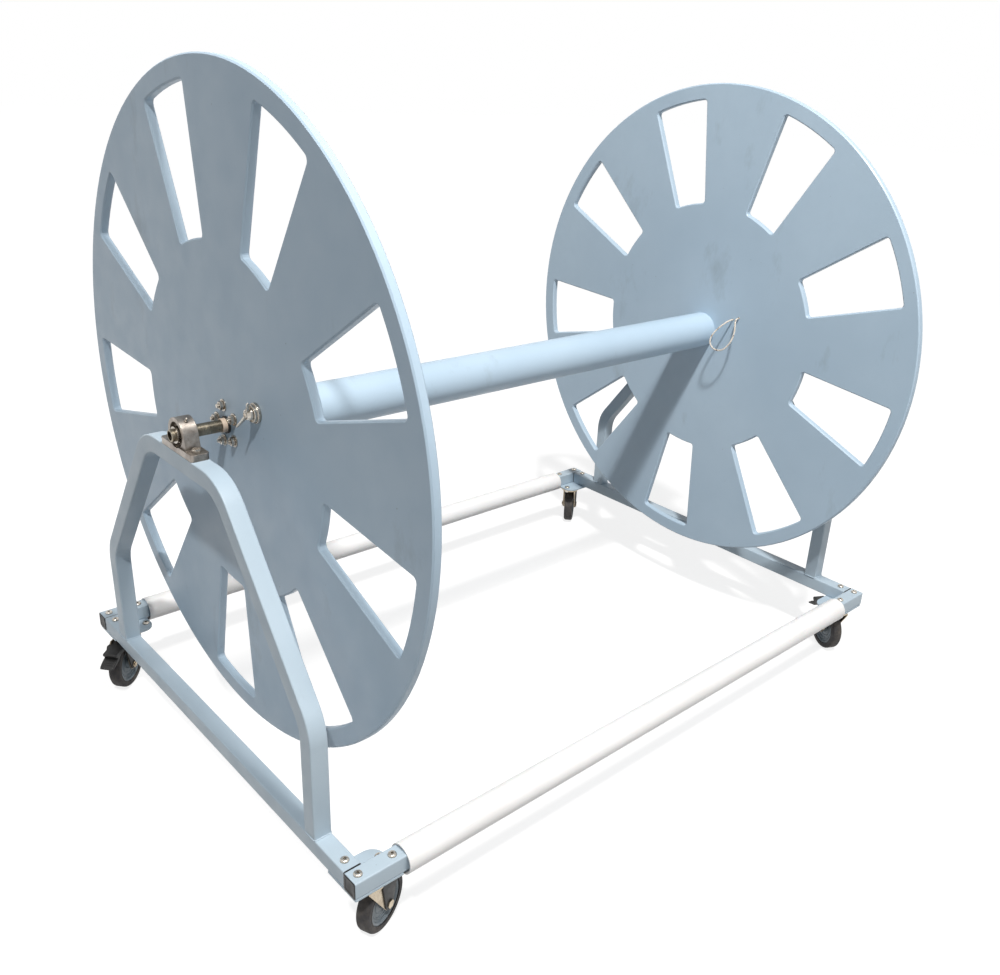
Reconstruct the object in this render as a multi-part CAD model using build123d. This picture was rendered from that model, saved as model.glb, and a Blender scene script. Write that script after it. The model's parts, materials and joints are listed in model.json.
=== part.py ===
from build123d import *
from math import atan, atan2, ceil, cos, pi, radians, sin, sqrt, tan
import os

# Rope reel for pool lane markers: two slotted discs on a core, turning in two
# pillow blocks on a welded stand with guard rollers and braked casters.
# Millimetres. X runs along the axle, the front is -Y, Z is up, and the origin
# is on the floor under the middle of the reel.

# Stand, overall
stand_length = 1770.0  # along X, over the crossbar ends
stand_width = 1220.0  # along Y, over the crossbars
tube = 38.1  # side of every square tube
tube_wall = 3.0
tube_corner = 3.2  # outside corner radius of the tube
plug_flange = 2.0  # plastic flange left showing between beam and crossbar
plug_depth = 10.0
plug_play = 0.15  # plug body to tube wall, per side
cap_inset = 0.6  # a crossbar's plug, inwards from the tube's end
bore_corner = 0.6  # least corner radius of the tube's bore and the plugs

# Hoops that carry the bearings, measured from the top of the base beam
hoop_foot_half = 470.0  # outer face of an upright from the middle
hoop_shoulder = 253.0  # height of the lower bend's corner
hoop_top_half = 168.0  # upper bend's corner from the middle
hoop_rise = 645.0  # top face of the hoop
hoop_bend = 120.0  # outer bend radius

# Corners: gusset plate and the caster bolt pattern
gusset_x = 107.0
gusset_y = 95.0
gusset_t = 5.0
gusset_round = 30.0
bolt_end = 18.0  # outer bolt from the crossbar's end
pattern_x = 76.0
pattern_y = 44.5
corner_bolt_d = 9.5
corner_head_d = 18.0
corner_head_h = 5.0
corner_head_round = 4.0
corner_socket_af = 5.6
socket_depth = 2.8
corner_nut_af = 14.3
corner_nut_h = 8.0
corner_bolt_end = 2.0  # bolt past its nut
thread_play = 0.05  # nut to bolt, radial
bolt_play = 0.4  # hole to bolt, radial

# Guard rollers on the crossbars
sleeve_wall = 3.0
sleeve_room = 5.0  # least room across the tube's corners, taken up to a whole millimetre
sleeve_end = 114.0  # from a crossbar end to the sleeve
sleeve_play = 0.3  # left between the sleeve's bore and the tube's corners

# Reel
disc_r = 686.0
disc_t = 19.0
disc_gap = 1513.0  # between the two inner faces
disc_edge = 3.0  # eased edges
window_count = 9
window_inner = 365.5
window_outer = 645.0
window_half_angle = 8.1
window_first = 75.0  # degrees from +Y towards +Z
window_corner = 9.0
core_od = 101.6
core_wall = 5.0
hub_plug_t = 16.0
hub_plug_play = 0.1
hub_stud_ring = 40.0  # radius of the stud circle
hub_stud_count = 5
hub_stud_first = 5.0
hub_stud_d = 9.5
hub_stud_out = 15.0  # past the disc's face
hub_nut_af = 15.9
hub_nut_h = 8.0
hub_washer_d = 25.0
hub_washer_t = 2.0

# Axle
axle_d = 25.4
axle_wall = 3.2
axle_past = 9.0  # axle past a hoop's outer face
axle_edge = 1.0
seal_ring_wall = 5.3
seal_ring_t = 4.0
collar_wall = 1.8
collar_t = 10.0
slip_play = 0.05  # ring to axle, radial

# Pillow blocks for a 1 in axle
bearing_height = 36.5
bearing_foot = 140.0
bearing_foot_t = 14.0
bearing_foot_w = 38.0
bearing_foot_round = 7.0
bearing_heel = 2.0  # height of the cast body's straight sides
bearing_body_w = 31.0
bearing_ring_r = 34.5
bearing_shoulder = 41.0  # half width of the cast body at the foot
bearing_bore = 52.0
bearing_slot_w = 11.5
bearing_slot_l = 16.0
bearing_bolts_apart = 105.0
bearing_bolt_d = 9.5
bearing_head_af = 15.9
bearing_head_h = 6.5
bearing_bolt_end = 3.0
outer_ring_w = 17.0
outer_ring_wall = 4.4
shield_t = 1.2
inner_ring_wall = 4.3
inner_ring_w = 31.0
inner_ring_out = 19.0  # from the bearing's middle to the screwed end
shield_play = 0.5
set_screw_d = 6.0
set_screw_l = 5.0
set_screw_af = 3.0
set_screw_socket = 2.0
set_screw_in = 5.0  # from the ring's screwed end
set_screw_turns = (20, 140)
nipple_tilt = 30.0
nipple_stem_r = 2.9
nipple_root = 5.0
nipple_seat = 1.0
nipple_hex_af = 8.0
nipple_hex_h = 3.0
nipple_neck_r = 1.8
nipple_ball_r = 2.4
nipple_ball_z = 7.0
nipple_play = 0.05

# Wing nut with its washer and bolt, on the left disc
wing_y = -131.0
wing_z = 62.0
wing_bolt_d = 12.7
wing_washer_d = 50.0
wing_washer_t = 3.0
wing_hub_r = 11.5
wing_hub_top_r = 9.5
wing_hub_h = 14.0
wing_root = (8.0, 7.0)
wing_root_r = 6.0
wing_tip_z = 20.0
wing_tip_r = 4.0
wing_blade_t = 3.6
wing_reach = 33.0
wing_angle = 40.0
wing_bolt_out = 22.0
wing_head_d = 28.0
wing_head_h = 6.0
wing_head_round = 4.8

# Casters, measured from the floor and from the swivel axis
wheel_r = 63.5
fork_room = 11.0  # tyre to the underside of the swivel dish
swivel_h = 18.0  # from there to the top of the plate
tread_w = 30.0
tread_band = 15.0  # radial depth of the tyre
tread_round = 7.0
hub_w = 26.0
hub_web = 6.0
hub_boss_r = 14.0
hub_boss_w = 34.0
hub_boss_edge = 2.0
hub_boss_fall = 4.0
hub_boss_draft = 1.0
hub_rim_t = 7.0
hub_rim_draft = 1.5
hub_play = 0.05
trail = 35.0
plate_x = 95.0
plate_y = 67.0
plate_t = 3.0
plate_corner = 8.0
race_r = 24.5
race_h = 5.0
kingpin_r = 6.0
kingpin_head_r = 10.0
kingpin_head_h = 3.0
swivel_play = 0.5  # axial and radial gaps at the swivel
pin_play = 0.1  # radial, kingpin and pedal pin
fork_wall = 3.0
fork_gap = 36.0  # between the legs
fork_crown_r = 30.5
fork_leg_front = 27.0
fork_leg_back = 62.0
fork_eye_r = 14.0
wheel_axle_r = 5.0
wheel_head_af = 17.0
wheel_head_h = 6.0
wheel_bolt_end = 2.0
brake_pin_x = 52.0
brake_pin_up = 4.5  # above the top of the tyre
brake_pin_r = 3.0
brake_band = 4.0  # thickness of the pedal's plate
brake_gap = 9.0  # pedal's underside to the tyre, brake off
brake_w = 33.0
brake_tip_x = 130.0
brake_tip_up = 39.5  # upper face of the tip, above the wheel's axle
brake_tip_w = 58.0
brake_tip_cut = (4.0, 6.0)
brake_neck_past = 3.0  # narrow part past the fork's legs
brake_flare = 12.0
brake_barrel_wall = 2.5
brake_barrel_play = 1.0
brake_pin_past = 1.0
brake_span = 38.0  # degrees of the arc over the tyre

# Swivel angle of each caster as photographed, degrees from +X towards +Y
swivels = {
    ("front", "left"): 22.0,
    ("front", "right"): 62.0,
    ("rear", "left"): 220.0,
    ("rear", "right"): 40.0,
}

# Rope loop through the right disc: holes from the axle line, then the route
# from the disc's inner face as (towards the reel, Y, Z) offsets
rope_d = 4.5
rope_hole_play = 0.6
knot_r = 6.5
knot_l = 11.0
knot_round = 3.5
knot_tail = 2.0
rope_route = [
    (0, -110, 52),
    (13, -110, 52),
    (28, -105, 45),
    (42, -94, 30),
    (53, -84, 12),
    (59, -79, -8),
    (61, -88, -25),
    (58, -105, -33),
    (53, -122, -30),
    (47, -136, -16),
    (39, -143, 4),
    (33, -144, 25),
    (27, -139, 43),
    (20, -133, 55),
    (10, -130, 60),
    (0, -130, 60),
]

# Levels, stations and fits that follow
fork_shoulder = 2 * wheel_r + fork_room  # underside of the swivel dish
caster_height = fork_shoulder + swivel_h
brake_pin_z = 2 * wheel_r + brake_pin_up
brake_tip_z = wheel_r + brake_tip_up
gusset_z = caster_height
beam_z = gusset_z + gusset_t  # underside of the base tubes
base_top = beam_z + tube
hoop_top = base_top + hoop_rise
axle_z = hoop_top + bearing_height
beam_x = stand_length / 2 - tube / 2  # middle of a base beam and hoop
bar_y = stand_width / 2 - tube / 2  # middle of a crossbar
beam_length = stand_width - 2 * tube - 2 * plug_flange
pivot_x = stand_length / 2 - bolt_end - pattern_x / 2
pivot_y = bar_y - pattern_y / 2
disc_inner = disc_gap / 2
disc_outer = disc_inner + disc_t
axle_length = stand_length + 2 * axle_past
seal_ring_d = axle_d + 2 * seal_ring_wall
collar_d = axle_d + 2 * collar_wall
inner_ring_od = axle_d + 2 * inner_ring_wall
across_corners = (tube - 2 * tube_corner) * sqrt(2) + 2 * tube_corner
sleeve_bore = ceil(across_corners + sleeve_room)
sleeve_od = sleeve_bore + 2 * sleeve_wall
corner_bolt_r = corner_bolt_d / 2
sides = {"left": -1, "right": 1}
ends = {"front": -1, "rear": 1}


def along_x(x, y, z):
    """A plane at a point whose normal is +X, with its own x axis along +Y."""
    return Plane(origin=(x, y, z), x_dir=(0, 1, 0), z_dir=(1, 0, 0))


def disc_x(radius, x0, x1, y=0.0, z=0.0, bore=0.0):
    """A round or ring with its axis along X, from x0 to x1."""
    section = Circle(radius)
    if bore:
        section -= Circle(bore)
    return extrude(along_x(min(x0, x1), y, z) * section, abs(x1 - x0))


def disc_z(radius, z0, z1, x=0.0, y=0.0, bore=0.0):
    """A round or ring with its axis along Z, from z0 to z1."""
    section = Circle(radius)
    if bore:
        section -= Circle(bore)
    return extrude(Plane(origin=(x, y, z0)) * section, z1 - z0)


def hexagon(across_flats):
    return RegularPolygon(across_flats / sqrt(3), 6)


def save(name, shape):
    shape.label = name
    export_step(shape, "parts/" + name + ".step")


def save_group(name, shapes):
    save(name, Compound(children=shapes))


# Square tubes, their end plugs, and the hoops


def tube_section(side):
    """Outline of the tube, or of its bore when side is smaller."""
    inset = (tube - side) / 2
    return RectangleRounded(side, side, max(tube_corner - inset, bore_corner))


def square_tube(length):
    """A tube centred on the origin, along X."""
    section = tube_section(tube) - tube_section(tube - 2 * tube_wall)
    return extrude(Plane.YZ * section, length / 2, both=True)


def tube_plug(flange):
    """An end plug whose flange lies on x = 0 outwards, with its body along -X."""
    bore = tube - 2 * tube_wall
    body = extrude(Plane.YZ * tube_section(bore - 2 * plug_play), -plug_depth)
    if flange:
        body += extrude(Plane.YZ * tube_section(tube), flange)
    return body


def corner_points(end):
    """Bolt centres of the four corners at one end, as (x, y, through tube)."""
    points = []
    for side in sides.values():
        x_out = side * (pivot_x + pattern_x / 2)
        x_in = side * (pivot_x - pattern_x / 2)
        y_out = end * (pivot_y + pattern_y / 2)
        y_in = end * (pivot_y - pattern_y / 2)
        points += [(x_out, y_out, True), (x_in, y_out, True)]
        points += [(x_out, y_in, True), (x_in, y_in, False)]
    return points


def drill(part, points, radius, z0, z1):
    for x, y, *_ in points:
        part -= disc_z(radius, z0, z1, x, y)
    return part


def crossbar(end):
    bar = Pos(0, end * bar_y, beam_z + tube / 2) * square_tube(stand_length)
    holes = [p for p in corner_points(end) if abs(abs(p[1]) - bar_y) < 1]
    return drill(bar, holes, corner_bolt_r + bolt_play, beam_z - 1, base_top + 1)


def base_beam(side):
    beam = Pos(side * beam_x, 0, beam_z + tube / 2) * Rot(0, 0, 90) * square_tube(beam_length)
    holes = []
    for end in ends.values():
        for x, y, through in corner_points(end):
            if through and x * side > 0 and abs(abs(y) - bar_y) > 1:
                holes.append((x, y))
    return drill(beam, holes, corner_bolt_r + bolt_play, beam_z - 1, base_top + 1)


def hoop_line(inset):
    """Corners of the hoop's outline, moved in by inset, from foot to foot."""
    lean = atan((hoop_foot_half - hoop_top_half) / (hoop_rise - hoop_shoulder))
    foot = hoop_foot_half - inset
    low = hoop_shoulder - inset * tan(lean / 2)
    top_half = hoop_top_half - inset * tan((pi / 2 - lean) / 2)
    top = hoop_rise - inset
    half = [(foot, 0), (foot, low), (top_half, top)]
    return half + [(-y, z) for y, z in reversed(half)]


def hoop(side):
    """The bent tube that stands on a base beam and carries a pillow block."""
    x = side * beam_x
    points = [(x, y, base_top + z) for y, z in hoop_line(tube / 2)]
    path = FilletPolyline(*points, radius=hoop_bend - tube / 2)
    start = Plane(origin=path @ 0, x_dir=(1, 0, 0), z_dir=path % 0)
    part = sweep(start * tube_section(tube), path)
    part -= sweep(start * tube_section(tube - 2 * tube_wall), path)
    bolts = [(x, s * bearing_bolts_apart / 2) for s in (-1, 1)]
    reach = hoop_top - tube - 1
    return drill(part, bolts, bearing_bolt_d / 2 + bolt_play, reach, hoop_top + 1)


def gusset(side, end):
    """Corner plate under both tubes, rounded at its free corner."""
    x_out, y_out = stand_length / 2, stand_width / 2
    plate = Rectangle(gusset_x, gusset_y, align=(Align.MAX, Align.MAX))
    free = plate.vertices().sort_by(lambda v: v.X + v.Y)[0]
    outer = plate.vertices().sort_by(lambda v: v.X + v.Y)[-1]
    plate = fillet(free, gusset_round)
    plate = fillet(plate.vertices().sort_by_distance(outer)[0], tube_corner)
    part = extrude(Plane(origin=(x_out, y_out, gusset_z)) * plate, gusset_t)
    if side < 0:
        part = part.mirror(Plane.YZ)
    if end < 0:
        part = part.mirror(Plane.XZ)
    holes = [p for p in corner_points(end) if p[0] * side > 0]
    return drill(part, holes, corner_bolt_r + bolt_play, gusset_z - 1, beam_z + 1)


# Fasteners


def button_bolt(length, diameter, head_d, head_h, socket_af):
    """A button-head bolt, its head's underside on z = 0 and its shank along -Z."""
    head = Cylinder(head_d / 2, head_h, align=(Align.CENTER, Align.CENTER, Align.MIN))
    head = fillet(head.edges().group_by(Axis.Z)[-1], corner_head_round)
    head -= Pos(0, 0, head_h - socket_depth) * extrude(hexagon(socket_af), head_h)
    shank = Cylinder(diameter / 2, length, align=(Align.CENTER, Align.CENTER, Align.MAX))
    return head + shank


def hex_nut(across_flats, height, diameter):
    """A hex nut on z = 0, up."""
    blank = extrude(hexagon(across_flats), height)
    return blank - disc_z(diameter / 2 + thread_play, -1, height + 1)


def hex_bolt(length, diameter, across_flats, head_h):
    """A hex bolt, its head's underside on z = 0 and its shank along -Z."""
    shank = Cylinder(diameter / 2, length, align=(Align.CENTER, Align.CENTER, Align.MAX))
    return extrude(hexagon(across_flats), head_h) + shank


def corner_bolts():
    nut_reach = plate_t + corner_nut_h + corner_bolt_end
    parts = []
    for end in ends.values():
        for x, y, through in corner_points(end):
            seat = base_top if through else beam_z
            length = seat - gusset_z + nut_reach
            bolt = button_bolt(length, corner_bolt_d, corner_head_d, corner_head_h,
                               corner_socket_af)
            parts.append(Pos(x, y, seat) * bolt)
    return parts


def corner_nuts():
    z = caster_height - plate_t - corner_nut_h
    nut = hex_nut(corner_nut_af, corner_nut_h, corner_bolt_d)
    return [Pos(x, y, z) * nut for end in ends.values() for x, y, _ in corner_points(end)]


# Pillow blocks


def bearing_housing(side):
    """Cast block with its foot on the hoop and its bore on the axle line."""
    body = make_hull((Pos(0, bearing_height) * Circle(bearing_ring_r)).edges()
                     + (Pos(0, bearing_heel / 2) * Rectangle(2 * bearing_shoulder, bearing_heel)).edges())
    foot = Pos(0, bearing_foot_t / 2) * Rectangle(bearing_foot, bearing_foot_t)
    place = along_x(side * beam_x, 0, hoop_top)
    part = extrude(place * body, bearing_body_w / 2, both=True)
    base = extrude(place * foot, bearing_foot_w / 2, both=True)
    base = fillet(base.edges().filter_by(Axis.Z), bearing_foot_round)
    part += base
    part -= disc_x(bearing_bore / 2, side * beam_x - bearing_foot_w,
                   side * beam_x + bearing_foot_w, 0, axle_z)
    for s in (-1, 1):
        slot = Rot(0, 0, 90) * SlotOverall(bearing_slot_l, bearing_slot_w)
        spot = Plane(origin=(side * beam_x, s * bearing_bolts_apart / 2, hoop_top - 1))
        part -= extrude(spot * slot, bearing_height)
    return part - nipple_place(side) * disc_z(nipple_stem_r + nipple_play, -bearing_ring_r / 2, nipple_root)


def nipple_place(side):
    """Where the grease nipple sits: on the ring, leaning to the front."""
    return Pos(side * beam_x, 0, axle_z) * Rot(nipple_tilt, 0, 0) * Pos(0, 0, bearing_ring_r)


def grease_nipple(side):
    top = nipple_seat + nipple_hex_h
    stem = disc_z(nipple_stem_r, -nipple_root, nipple_seat)
    collar = Pos(0, 0, nipple_seat) * extrude(hexagon(nipple_hex_af), nipple_hex_h)
    neck = disc_z(nipple_neck_r, top, nipple_ball_z - 1)
    ball = Pos(0, 0, nipple_ball_z) * Sphere(nipple_ball_r)
    return nipple_place(side) * (stem + collar + neck + ball)


def ring_profile(points):
    """A closed outline in (along axle, radius) turned about the axle line."""
    face = make_face(Plane.XZ * Polyline(*points, close=True))
    return revolve(face, Axis.X)


def bearing_outer_ring(side):
    """Outer ring with its two shields, closed round the space for the balls."""
    r_out = bearing_bore / 2
    r_in = r_out - outer_ring_wall
    r_shield = inner_ring_od / 2 + shield_play
    w = outer_ring_w / 2
    points = [(-w, r_out), (w, r_out), (w, r_shield), (w - shield_t, r_shield),
              (w - shield_t, r_in), (shield_t - w, r_in), (shield_t - w, r_shield),
              (-w, r_shield)]
    return Pos(side * beam_x, 0, axle_z) * ring_profile(points)


def bearing_inner_ring(side):
    """Inner ring, longer on its outer side for the two set screws."""
    x_out = side * (beam_x + inner_ring_out)
    x_in = side * (beam_x + inner_ring_out - inner_ring_w)
    ring = disc_x(inner_ring_od / 2, x_out, x_in, 0, axle_z, axle_d / 2 + slip_play)
    for screw in set_screw_places(side):
        ring -= screw * disc_z(set_screw_d / 2 + thread_play, 0, inner_ring_od)
    return ring


def set_screw_places(side):
    x = side * (beam_x + inner_ring_out - set_screw_in)
    return [Pos(x, 0, axle_z) * Rot(turn, 0, 0) for turn in set_screw_turns]


def set_screw(place):
    seat = axle_d / 2 + slip_play
    screw = disc_z(set_screw_d / 2, seat, seat + set_screw_l)
    floor = seat + set_screw_l - set_screw_socket
    screw -= Pos(0, 0, floor) * extrude(hexagon(set_screw_af), set_screw_l)
    return place * screw


def bearing_bolts():
    reach = bearing_foot_t + tube + hub_nut_h + bearing_bolt_end
    bolt = hex_bolt(reach, bearing_bolt_d, bearing_head_af, bearing_head_h)
    z = hoop_top + bearing_foot_t
    return [Pos(sx * beam_x, sy * bearing_bolts_apart / 2, z) * bolt
            for sx in sides.values() for sy in (-1, 1)]


def bearing_nuts():
    nut = hex_nut(bearing_head_af, hub_nut_h, bearing_bolt_d)
    z = hoop_top - tube - hub_nut_h
    return [Pos(sx * beam_x, sy * bearing_bolts_apart / 2, z) * nut
            for sx in sides.values() for sy in (-1, 1)]


# Reel


def window():
    """One cut-out of a disc, centred on the local +X axis."""
    a = radians(window_half_angle)
    inner = [(window_inner * cos(t), window_inner * sin(t)) for t in (-a, 0, a)]
    outer = [(window_outer * cos(t), window_outer * sin(t)) for t in (a, 0, -a)]
    outline = [ThreePointArc(*inner), Line(inner[2], outer[0]),
               ThreePointArc(*outer), Line(outer[2], inner[0])]
    face = make_face(outline)
    return fillet(face.vertices(), window_corner)


def stud_places():
    turns = [radians(hub_stud_first + k * 360 / hub_stud_count) for k in range(hub_stud_count)]
    return [(hub_stud_ring * cos(t), hub_stud_ring * sin(t)) for t in turns]


def rope_holes():
    return [rope_route[0][1:], rope_route[-1][1:]]


def disc(side):
    face = Circle(disc_r) - Circle(axle_d / 2 + slip_play)
    for k in range(window_count):
        face -= Rot(0, 0, window_first + k * 360 / window_count) * window()
    x0 = min(side * disc_inner, side * disc_outer)
    part = extrude(along_x(x0, 0, axle_z) * face, disc_t)
    far = 2 * axle_d
    rims = [e for e in part.edges()
            if abs(e.center().X - x0) < 0.01 or abs(e.center().X - x0 - disc_t) < 0.01]
    rims = [e for e in rims if (e @ 0 - Vector(e.center().X, 0, axle_z)).length > far]
    part = chamfer(rims, disc_edge)
    for y, z in stud_places():
        part -= disc_x(hub_stud_d / 2 + bolt_play, x0 - 1, x0 + disc_t + 1, y, axle_z + z)
    if side < 0:
        part -= disc_x(wing_bolt_d / 2 + bolt_play, x0 - 1, x0 + disc_t + 1, wing_y, axle_z + wing_z)
    else:
        for y, z in rope_holes():
            part -= disc_x(rope_d / 2 + rope_hole_play, x0 - 1, x0 + disc_t + 1, y, axle_z + z)
    return part


def core_tube():
    r = core_od / 2
    return disc_x(r, -disc_inner, disc_inner, 0, axle_z, r - core_wall)


def hub_plug(side):
    """Plate inside a core end that holds the axle and the five studs."""
    r = core_od / 2 - core_wall - hub_plug_play
    x0, x1 = side * (disc_inner - hub_plug_t), side * disc_inner
    part = disc_x(r, x0, x1, 0, axle_z, axle_d / 2 + slip_play)
    near, far = min(x0, x1) - 1, max(x0, x1) + 1
    for y, z in stud_places():
        part -= disc_x(hub_stud_d / 2 + thread_play, near, far, y, axle_z + z)
    return part


def axle_shaft():
    r = axle_d / 2
    shaft = disc_x(r, -axle_length / 2, axle_length / 2, 0, axle_z, r - axle_wall)
    rims = shaft.edges().filter_by(GeomType.CIRCLE)
    return chamfer([e for e in rims if abs(e.radius - r) < 0.01], axle_edge)


def hub_fasteners(side):
    """Studs, nuts and washers of one hub."""
    studs, nuts, washers = [], [], []
    tip = side * (disc_outer + hub_stud_out)
    root = side * (disc_inner - hub_plug_t)
    for y, z in stud_places():
        studs.append(disc_x(hub_stud_d / 2, root, tip, y, axle_z + z))
        seat = side * (disc_outer + hub_washer_t)
        washers.append(disc_x(hub_washer_d / 2, side * disc_outer, seat, y, axle_z + z,
                              hub_stud_d / 2 + thread_play))
        nut = hex_nut(hub_nut_af, hub_nut_h, hub_stud_d)
        nuts.append(Pos(seat, y, axle_z + z) * Rot(0, 90 * side, 0) * nut)
    return studs, nuts, washers


def wing_nut():
    """Hub with two flared wings, its seat on z = 0."""
    hub = Cone(wing_hub_r, wing_hub_top_r, wing_hub_h, align=(Align.CENTER, Align.CENTER, Align.MIN))
    root = Pos(*wing_root) * Circle(wing_root_r)
    tip = Pos(wing_reach - wing_tip_r, wing_tip_z) * Circle(wing_tip_r)
    blade = make_hull(root.edges() + tip.edges())
    wing = extrude(Plane.XZ * blade, wing_blade_t / 2, both=True)
    nut = hub + wing + wing.rotate(Axis.Z, 180)
    return nut - disc_z(wing_bolt_d / 2 + thread_play, -1, wing_hub_h + 1)


def wing_place(seat):
    """Local +Z of the wing parts points away from the left disc's outer face."""
    return Pos(seat, wing_y, axle_z + wing_z) * Rot(wing_angle, 0, 0) * Rot(0, -90, 0)


def wing_bolt():
    length = wing_head_h + disc_t + wing_washer_t + wing_bolt_out
    bolt = disc_z(wing_bolt_d / 2, 0, length)
    head = Cylinder(wing_head_d / 2, wing_head_h, align=(Align.CENTER, Align.CENTER, Align.MIN))
    head = fillet(head.edges().group_by(Axis.Z)[0], wing_head_round)
    return wing_place(-disc_inner + wing_head_h) * (bolt + head)


# Rope loop


def rope_points():
    return [Vector(disc_inner - x, y, axle_z + z) for x, y, z in rope_route]


def rope_radii(points):
    radii = []
    for before, at, after in zip(points, points[1:], points[2:]):
        turn = (at - before).get_angle(after - at)
        run = min((at - before).length, (after - at).length)
        radii.append(0.45 * run / tan(radians(turn) / 2))
    return radii


def rope_loop():
    points = rope_points()
    radii = rope_radii(points)
    path = FilletPolyline(*points, radius=radii)
    section = Plane(origin=points[0], z_dir=path % 0) * Circle(rope_d / 2)
    rope = sweep(section, path)
    print("rope radii", [round(r, 1) for r in radii])
    print("rope length", round(path.length, 1), "volume over section times length",
          round(rope.volume / (pi * rope_d**2 / 4 * path.length), 4))
    return rope


def rope_knot(y, z):
    """The rope's end inside its hole, and the knot outside the disc."""
    tail = disc_x(rope_d / 2, disc_inner, disc_outer + knot_tail, y, axle_z + z)
    knot = Pos(disc_outer + knot_l / 2, y, axle_z + z) * Rot(0, 90, 0) * Cylinder(knot_r, knot_l)
    knot = fillet(knot.edges().filter_by(GeomType.CIRCLE), knot_round)
    return tail + knot


# Guard rollers


def sleeve_drop():
    """How far a sleeve hangs below its crossbar's middle, resting on the corners."""
    corner = tube / 2 - tube_corner
    reach = sleeve_bore / 2 - tube_corner - sleeve_play
    return sqrt(reach**2 - corner**2) - corner


def sleeve(end):
    half = stand_length / 2 - sleeve_end
    z = beam_z + tube / 2 - sleeve_drop()
    return disc_x(sleeve_od / 2, -half, half, end * bar_y, z, sleeve_bore / 2)


# Casters, built with the swivel axis on Z and the wheel towards +X


def caster_plate():
    """Top plate with its four holes, upper race and riveted kingpin."""
    z0 = caster_height - plate_t
    plate = extrude(Plane(origin=(0, 0, z0)) * RectangleRounded(plate_x, plate_y, plate_corner), plate_t)
    plate += disc_z(race_r, z0 - race_h, z0)
    head = fork_shoulder - swivel_play
    plate += disc_z(kingpin_r, head - 1, z0)
    plate += disc_z(kingpin_head_r, head - kingpin_head_h, head)
    holes = [(sx * pattern_x / 2, sy * pattern_y / 2) for sx in (-1, 1) for sy in (-1, 1)]
    return drill(plate, holes, corner_bolt_r + bolt_play, z0 - 1, caster_height + 1)


def caster_fork():
    """Swivel dish and two pressed legs, tapering to the axle eyes."""
    top = fork_shoulder + fork_wall
    eye = Pos(trail, wheel_r) * Circle(fork_eye_r)
    shoulder = Pos((fork_leg_back - fork_leg_front) / 2, fork_shoulder) \
        * Rectangle(fork_leg_back + fork_leg_front, 2 * fork_wall)
    leg = make_hull(eye.edges() + shoulder.edges())
    leg -= Pos(trail, wheel_r) * Circle(wheel_axle_r + hub_play)
    leg -= Pos(brake_pin_x, brake_pin_z) * Circle(brake_pin_r + pin_play)
    part = disc_z(fork_crown_r, fork_shoulder, top + race_h + swivel_play)
    part -= disc_z(race_r + swivel_play, top, caster_height)
    for s in (-1, 1):
        y = s * (fork_gap + fork_wall) / 2
        plane = Plane(origin=(0, y, 0), x_dir=(1, 0, 0), z_dir=(0, -1, 0))
        part += extrude(plane * leg, fork_wall / 2, both=True)
    bridge_l = fork_leg_front + fork_crown_r
    bridge = Pos((fork_crown_r - fork_leg_front) / 2, 0, fork_shoulder + fork_wall / 2)
    part += bridge * Box(bridge_l, fork_gap + 2 * fork_wall, fork_wall)
    return part - disc_z(kingpin_r + pin_play, fork_shoulder - 1, top + 1)


def round_y(radius, y0, y1, x, z, bore=0.0):
    """A round or ring with its axis along Y."""
    section = Circle(radius)
    if bore:
        section -= Circle(bore)
    plane = Plane(origin=(x, min(y0, y1), z), x_dir=(1, 0, 0), z_dir=(0, 1, 0))
    return extrude(plane * section, abs(y1 - y0))


def wheel_axle():
    """Axle bolt through the legs, and its nut."""
    face = fork_gap / 2 + fork_wall
    end = face + wheel_head_h + wheel_bolt_end
    bolt = round_y(wheel_axle_r, -face, end, trail, wheel_r)
    turned = Pos(trail, -face, wheel_r) * Rot(90, 0, 0)
    bolt += turned * extrude(hexagon(wheel_head_af), wheel_head_h)
    turned = Pos(trail, face, wheel_r) * Rot(-90, 0, 0)
    nut = turned * hex_nut(wheel_head_af, wheel_head_h, 2 * wheel_axle_r)
    return [bolt, nut]


def turned_about_axle(points):
    """A closed (radius, along axle) outline turned about the wheel's axle."""
    plane = Plane(origin=(trail, 0, wheel_r), x_dir=(1, 0, 0), z_dir=(0, 0, 1))
    face = make_face(plane * Polyline(*points, close=True))
    return revolve(face, Axis((trail, 0, wheel_r), (0, 1, 0)))


def caster_hub():
    rim = wheel_r - tread_band
    w, web, boss = hub_w / 2, hub_web / 2, hub_boss_w / 2
    rim_in, boss_r = rim - hub_rim_t, hub_boss_r + hub_boss_draft
    half = [(wheel_axle_r + hub_play, boss), (hub_boss_r - hub_boss_edge, boss),
            (hub_boss_r, boss - hub_boss_fall), (boss_r, web), (rim_in, web),
            (rim_in + hub_rim_draft, w), (rim, w)]
    return turned_about_axle(half + [(r, -y) for r, y in reversed(half)])


def caster_tyre():
    rim = wheel_r - tread_band
    tyre = round_y(wheel_r, -tread_w / 2, tread_w / 2, trail, wheel_r, rim)
    edges = [e for e in tyre.edges().filter_by(GeomType.CIRCLE) if abs(e.radius - wheel_r) < 0.01]
    return fillet(edges, tread_round)


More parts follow.
